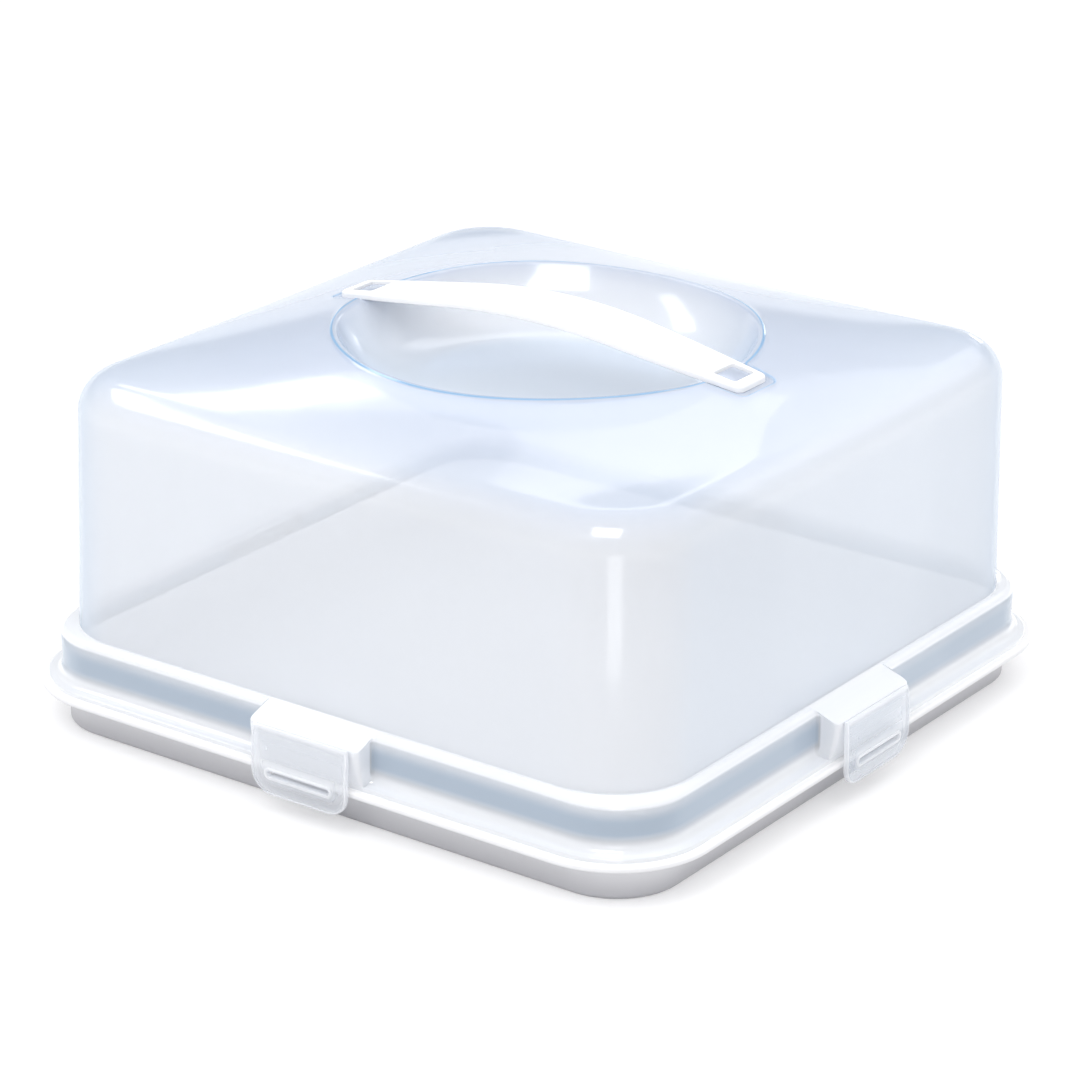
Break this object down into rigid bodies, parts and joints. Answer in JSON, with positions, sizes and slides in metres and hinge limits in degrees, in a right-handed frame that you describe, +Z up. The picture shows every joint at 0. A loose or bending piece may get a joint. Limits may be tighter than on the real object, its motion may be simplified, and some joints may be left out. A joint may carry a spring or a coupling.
{
  "type": "square cake box",
  "caption": "Square cake box: shallow white tray, clear crowned cover with a round hand dish and a white strap handle, and a swinging latch on each side that hooks under the tray's rim.",
  "frame": {"origin": "middle of the tray's underside, on the surface that the box stands on", "axes": "+Z up, -Y towards the front latch, the strap handle runs along X"},
  "size_m": [0.307, 0.307, 0.1597],
  "materials": {
    "tray_plastic": "white opaque polypropylene, satin",
    "cover_plastic": "clear polypropylene with a faint blue haze, glossy",
    "handle_plastic": "white opaque polypropylene, satin",
    "latch_plastic": "clear polypropylene with a faint blue haze, glossy"
  },
  "bodies": {
    "tray": {"tray": "tray_plastic"},
    "lid": {"cover": "cover_plastic", "handle": "handle_plastic"},
    "latch_front": {"latch_front": "latch_plastic"},
    "latch_right": {"latch_right": "latch_plastic"},
    "latch_back": {"latch_back": "latch_plastic"},
    "latch_left": {"latch_left": "latch_plastic"}
  },
  "joints": [
    {"name": "cover_lift", "type": "slide", "parent": "tray", "child": "lid", "axis": [0, 0, 1], "range_m": [0, 0.16]},
    {"name": "latch_front_hinge", "type": "hinge", "parent": "lid", "child": "latch_front", "pos_m": [0, -0.1514, 0.0339], "axis": [-1, 0, 0], "range_deg": [0, 150]},
    {"name": "latch_right_hinge", "type": "hinge", "parent": "lid", "child": "latch_right", "pos_m": [0.1514, 0, 0.0339], "axis": [0, -1, 0], "range_deg": [0, 150]},
    {"name": "latch_back_hinge", "type": "hinge", "parent": "lid", "child": "latch_back", "pos_m": [0, 0.1514, 0.0339], "axis": [1, 0, 0], "range_deg": [0, 150]},
    {"name": "latch_left_hinge", "type": "hinge", "parent": "lid", "child": "latch_left", "pos_m": [-0.1514, 0, 0.0339], "axis": [0, 1, 0], "range_deg": [0, 150]}
  ]
}
